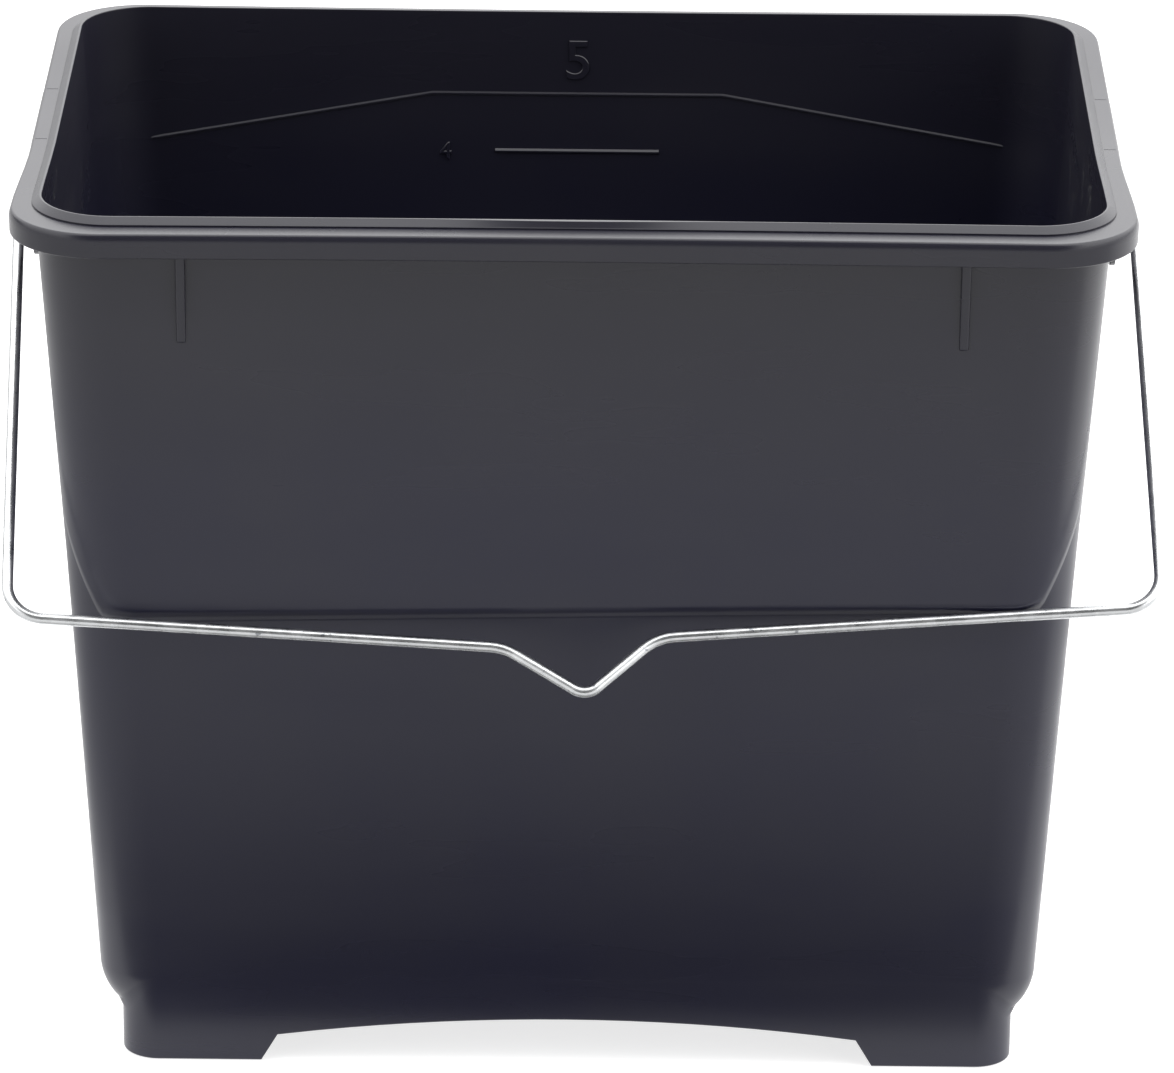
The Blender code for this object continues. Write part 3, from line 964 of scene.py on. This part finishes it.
def scuff_mask(tree, place, x, y, z):
    """Speckled patches on the side walls inside, just under the lip: scuff marks with a painted highlight.
    """
    grain = noise(tree, place, 620.0, 2.0, 0.7)
    patch = noise(tree, place, 60.0, 3.0)
    mask = maths(tree, "MULTIPLY", spread(tree, grain, 0.55, 0.68), spread(tree, patch, 0.48, 0.62))
    out = maths(tree, "ABSOLUTE", x, 0.0)
    low_face = wall_half_x(SCUFF_SHEEN_FACE) - WALL
    top_face = wall_half_x(RIM_TOP) - WALL
    limits = [
        spread(tree, out, low_face - 0.004, low_face - 0.001),
        spread(tree, out, top_face + 0.0004, top_face + 0.0006, 1.0, 0.0),
        spread(tree, maths(tree, "ABSOLUTE", y, 0.0), *SCUFF_SHEEN_DEPTHS, 1.0, 0.0),
        maths(
            tree,
            "MULTIPLY",
            spread(tree, z, *SCUFF_SHEEN_HEIGHTS),
            spread(tree, z, RIM_TOP - SCUFF_SHEEN_FADE, RIM_TOP, 1.0, 0.0),
        ),
    ]
    for limit in limits:
        mask = maths(tree, "MULTIPLY", mask, limit)
    return mask


def polypropylene():
    made, tree, shader = new_material("black_polypropylene")
    place = node(tree, "ShaderNodeTexCoord").outputs["Object"]
    x, y, z = node(tree, "ShaderNodeSeparateXYZ", Vector=place).outputs

    cloudy = noise(tree, place, 22.0, 4.0)
    tint = blend_colour(tree, spread(tree, z, *TINT_HEIGHTS), PLASTIC_LOW, PLASTIC_HIGH)
    streaked = node(tree, "ShaderNodeMapping", Vector=place, Scale=(1.0, 1.0, 6.0)).outputs[0]
    flow = noise(tree, streaked, 9.0)
    colour = blend_colour(tree, spread(tree, cloudy, 0.3, 0.7, 0.0, 0.25), tint, PLASTIC_CLOUD)

    # Scuff marks with a painted highlight: a lighter grey base colour, and rougher where scuffed
    scuff_and_sheen = scuff_mask(tree, place, x, y, z)
    colour = blend_colour(tree, scuff_and_sheen, colour, SCUFF_SHEEN_GREY)
    tree.links.new(colour, shader.inputs["Base Color"])

    rough = spread(tree, flow, 0.3, 0.7, 0.26, 0.34)
    rough = maths(tree, "ADD", rough, maths(tree, "MULTIPLY", scuff_and_sheen, 0.25))
    tree.links.new(rough, shader.inputs["Roughness"])
    shader.inputs["IOR"].default_value = 1.49

    skin = maths(tree, "MULTIPLY", noise(tree, place, 2600.0, 2.0), 0.010)
    ripple = maths(tree, "MULTIPLY", noise(tree, place, 30.0, 2.0), 0.10)
    height = maths(tree, "ADD", skin, ripple)
    bump = node(tree, "ShaderNodeBump", Strength=0.35, Distance=0.001, Height=height)
    tree.links.new(bump.outputs["Normal"], shader.inputs["Normal"])
    return made


def galvanised_wire():
    made, tree, shader = new_material("galvanised_wire")
    coords = node(tree, "ShaderNodeTexCoord")
    place = coords.outputs["Object"]
    along = node(tree, "ShaderNodeMapping", Vector=coords.outputs["UV"], Scale=DRAWN_SCALE)
    drawn = noise(tree, along.outputs[0], 1.0, 2.0)
    cloudy = noise(tree, place, 200.0, 2.0)
    nick = noise(tree, place, 700.0, 1.0)
    colour = blend_colour(tree, spread(tree, cloudy, 0.32, 0.68), ZINC_DULL, ZINC_BRIGHT)
    colour = blend_colour(tree, spread(tree, nick, 0.70, 0.76), colour, ZINC_NICK)
    tree.links.new(colour, shader.inputs["Base Color"])
    shader.inputs["Metallic"].default_value = 1.0
    rough = spread(tree, maths(tree, "ADD", drawn, cloudy), 0.7, 1.3, 0.22, 0.34)
    tree.links.new(rough, shader.inputs["Roughness"])
    height = maths(tree, "ADD", drawn, maths(tree, "MULTIPLY", cloudy, 0.6))
    bump = node(tree, "ShaderNodeBump", Strength=0.12, Distance=0.00004, Height=height)
    tree.links.new(bump.outputs["Normal"], shader.inputs["Normal"])
    return made


# Studio


def make_floor():
    """A white table, lit from below except in front of the tub, where it is in shade."""
    bm = bmesh.new()
    bmesh.ops.create_grid(bm, x_segments=1, y_segments=1, size=TABLE_HALF)
    floor = object_from(bm, "studio_floor")
    floor.location.z = -TABLE_GAP
    made, tree, shader = new_material("studio_floor")
    place = node(tree, "ShaderNodeTexCoord").outputs["Object"]
    x, y, _ = node(tree, "ShaderNodeSeparateXYZ", Vector=place).outputs

    behind = spread(tree, y, *LIT_FROM)
    side = maths(tree, "MULTIPLY", spread(tree, x, *DIM_LEFT), spread(tree, x, *DIM_RIGHT))
    glow = maths(tree, "MULTIPLY", maths(tree, "MULTIPLY", behind, side), TABLE_GLOW)
    tree.links.new(glow, shader.inputs["Emission Strength"])
    shader.inputs["Emission Color"].default_value = (1.0, 1.0, 1.0, 1)

    ahead = maths(tree, "MULTIPLY", maths(tree, "ADD", y, -SHADE_Y), SHADE_DEPTH_SCALE)
    aside = maths(tree, "MULTIPLY", x, SHADE_WIDTH_SCALE)
    reach = maths(tree, "ADD", maths(tree, "POWER", ahead, 2.0), maths(tree, "POWER", aside, 4.0))
    shaded = spread(tree, maths(tree, "SQRT", reach, 0.0), 0.0, SHADE_REACH, 1.0, 0.0)
    grey = blend_colour(tree, shaded, SHADE_FAR, SHADE_NEAR)
    white = blend_colour(tree, side, (0.0, 0.0, 0.0, 1), (TABLE_ALBEDO, TABLE_ALBEDO, TABLE_ALBEDO, 1))
    tree.links.new(blend_colour(tree, behind, grey, white), shader.inputs["Base Color"])
    shader.inputs["Roughness"].default_value = 0.9
    shader.inputs["Specular IOR Level"].default_value = 0.0
    floor.data.materials.append(made)


def towards(tree, direction, aim):
    """How nearly a direction points along aim, as the cosine of the angle between them."""
    settings = {"operation": "DOT_PRODUCT"}
    return node(tree, "ShaderNodeVectorMath", settings, i0=direction, i1=aim).outputs["Value"]


def make_world():
    """A white tent, brighter overhead and on the right, with a dim opening at the front.

    A grey panel stands behind on the left, low down.
    """
    world = bpy.data.worlds.new("light_tent")
    bpy.context.scene.world = world
    world.use_nodes = True
    tree = world.node_tree
    background = tree.nodes["Background"]
    direction = node(tree, "ShaderNodeTexCoord").outputs["Generated"]
    right, _, up = node(tree, "ShaderNodeSeparateXYZ", Vector=direction).outputs
    tent = spread(tree, up, *TENT_LOW, smooth=False)
    tent = maths(tree, "ADD", tent, spread(tree, up, *TENT_HIGH, smooth=False))
    tent = maths(tree, "MULTIPLY", tent, spread(tree, right, *TENT_SIDES, smooth=False))
    front = (0.0, -math.cos(OPENING_ELEVATION), math.sin(OPENING_ELEVATION))
    opening = spread(tree, towards(tree, direction, front), *OPENING_EDGE)
    panel = spread(tree, towards(tree, direction, PANEL_TOWARDS), *PANEL_EDGE)
    dim = maths(tree, "MULTIPLY", opening, panel)
    tree.links.new(maths(tree, "MULTIPLY", tent, dim), background.inputs["Strength"])
    background.inputs["Color"].default_value = (1.0, 1.0, 1.0, 1.0)


def make_camera():
    data = bpy.data.cameras.new("camera")
    data.sensor_width = 36.0
    data.lens = CAMERA_LENS
    data.clip_start = 0.1
    data.clip_end = 60.0
    camera = bpy.data.objects.new("camera", data)
    bpy.context.scene.collection.objects.link(camera)
    level = math.cos(CAMERA_ELEVATION)
    back = Vector(
        (
            math.sin(CAMERA_AZIMUTH) * level,
            -math.cos(CAMERA_AZIMUTH) * level,
            math.sin(CAMERA_ELEVATION),
        )
    )
    right = Vector((0, 0, 1)).cross(back).normalized()
    up = back.cross(right)
    turned_right = right * math.cos(CAMERA_ROLL) + up * math.sin(CAMERA_ROLL)
    turned_up = up * math.cos(CAMERA_ROLL) - right * math.sin(CAMERA_ROLL)
    turn = Matrix((turned_right, turned_up, back)).transposed()
    place = Vector(CAMERA_TARGET) + back * CAMERA_DISTANCE
    camera.matrix_world = Matrix.Translation(place) @ turn.to_4x4()
    bpy.context.scene.camera = camera


def add_piece(made, finish, body, node_name):
    made.data.materials.clear()
    made.data.materials.append(finish)
    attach(made, body)
    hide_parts(node_name)


make_camera()
make_world()
make_floor()
plastic = polypropylene()
for tub_piece in [make_tub(), *make_marks()]:
    add_piece(tub_piece, plastic, "tub", "tub")
add_piece(make_bail(), galvanised_wire(), "bail", "wire_handle")
bpy.context.scene.view_settings.view_transform = "Standard"
